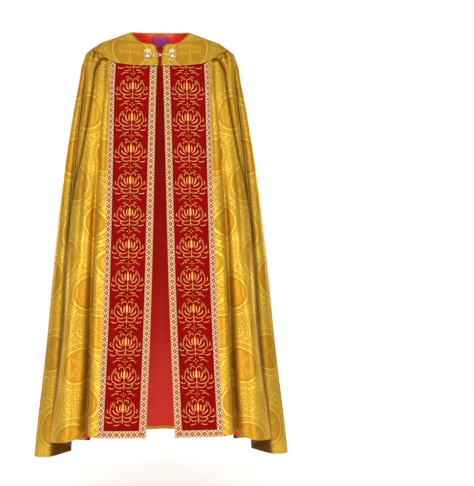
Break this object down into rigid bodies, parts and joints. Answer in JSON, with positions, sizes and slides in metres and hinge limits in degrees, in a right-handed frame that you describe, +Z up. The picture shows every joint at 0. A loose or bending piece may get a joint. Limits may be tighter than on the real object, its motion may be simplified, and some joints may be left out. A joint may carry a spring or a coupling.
{
  "type": "cope vestment",
  "caption": "Full-length liturgical cope in its worn form: folded gold brocade, red front bands edged with braid, a pointed hood with an applied cross, a clasp and a tassel.",
  "frame": {"origin": "midway between the wearer's shoulders, a little under the base of the neck, where the wearer's shoulders hold the cope up", "axes": "+Z up, the front faces -Y, and +X is the wearer's left"},
  "size_m": [0.881, 0.6309, 1.4631],
  "materials": {
    "gold_brocade": "woven gold brocade with a soft satin sheen",
    "red_lining": "smooth red satin lining",
    "red_velvet": "matt deep red cloth with gold embroidery",
    "cream_braid": "woven cream braid with dark red lozenges",
    "gold_thread": "twisted gold thread and cord",
    "gilt_metal": "polished gilt metal",
    "purple_label": "bare purple woven label"
  },
  "bodies": {
    "root": {"clasp_eye": "gilt_metal", "clasp_hook": "gilt_metal", "clasp_plate_left": "gilt_metal", "clasp_plate_right": "gilt_metal", "cope_back": "gold_brocade", "cope_front_left": "gold_brocade", "cope_front_right": "gold_brocade", "cross_arm_foot": "red_velvet", "cross_arm_left": "red_velvet", "cross_arm_right": "red_velvet", "cross_arm_top": "red_velvet", "cross_braid_foot": "cream_braid", "cross_braid_left": "cream_braid", "cross_braid_right": "cream_braid", "cross_braid_top": "cream_braid", "hood": "gold_brocade", "label": "purple_label", "lining": "red_lining", "medallion": "red_velvet", "medallion_rim": "gold_thread", "neck_piping": "gold_thread", "orphrey_braid_left": "cream_braid", "orphrey_braid_right": "cream_braid", "orphrey_left": "red_velvet", "orphrey_right": "red_velvet", "tassel": "gold_thread", "tassel_cord": "gold_thread", "yoke_left": "gold_brocade", "yoke_right": "gold_brocade"}
  },
  "joints": []
}
